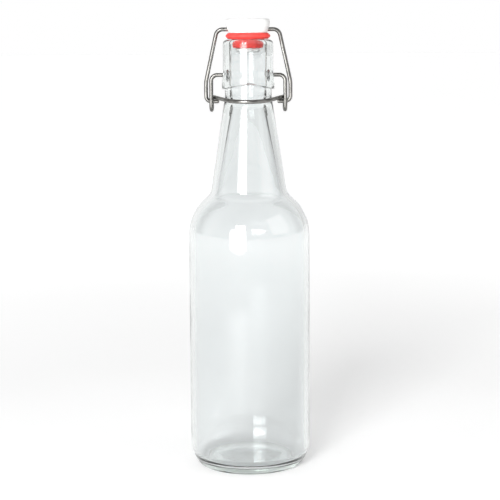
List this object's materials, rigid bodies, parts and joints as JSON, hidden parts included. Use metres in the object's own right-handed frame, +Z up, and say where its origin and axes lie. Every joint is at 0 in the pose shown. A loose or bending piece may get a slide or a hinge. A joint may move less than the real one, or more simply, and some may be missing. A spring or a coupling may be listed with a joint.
{
  "type": "swing-top bottle",
  "caption": "Clear glass swing-top bottle with a sloping neck, a white stopper with a red rubber gasket, and a wire bail closure with a lever loop.",
  "frame": {"origin": "middle of the base, on the plane that the bottle stands on", "axes": "+Z up along the bottle's axis, -Y the front, where the lever's loop is, +X to the right along every hinge"},
  "size_m": [0.07, 0.07, 0.2588],
  "materials": {
    "clear_glass": "clear flint glass, very slightly green where thick",
    "white_plastic": "white, smooth, low gloss",
    "red_rubber": "orange-red rubber, satin",
    "steel_wire": "drawn steel wire, bright"
  },
  "bodies": {
    "bottle": {"glass_bottle": "clear_glass"},
    "lever": {"lever_bail": "steel_wire"},
    "bail": {"stopper_bail": "steel_wire"},
    "stopper": {"stopper": "white_plastic", "gasket": "red_rubber"}
  },
  "joints": [
    {"name": "lever_swing", "type": "hinge", "parent": "bottle", "child": "lever", "pos_m": [0, 0, 0.227], "axis": [-1, 0, 0], "range_deg": [0, 90]},
    {"name": "bail_hinge", "type": "hinge", "parent": "lever", "child": "bail", "pos_m": [0, 0.0016, 0.2119], "axis": [1, 0, 0], "range_deg": [0, 60]},
    {"name": "stopper_hinge", "type": "hinge", "parent": "bail", "child": "stopper", "pos_m": [0, 0, 0.2528], "axis": [1, 0, 0], "range_deg": [0, 27]}
  ],
  "couplings": [
    {"joint": "bail_hinge", "follows": "lever_swing", "ratio": 0.66},
    {"joint": "stopper_hinge", "follows": "lever_swing", "ratio": 0.3}
  ]
}
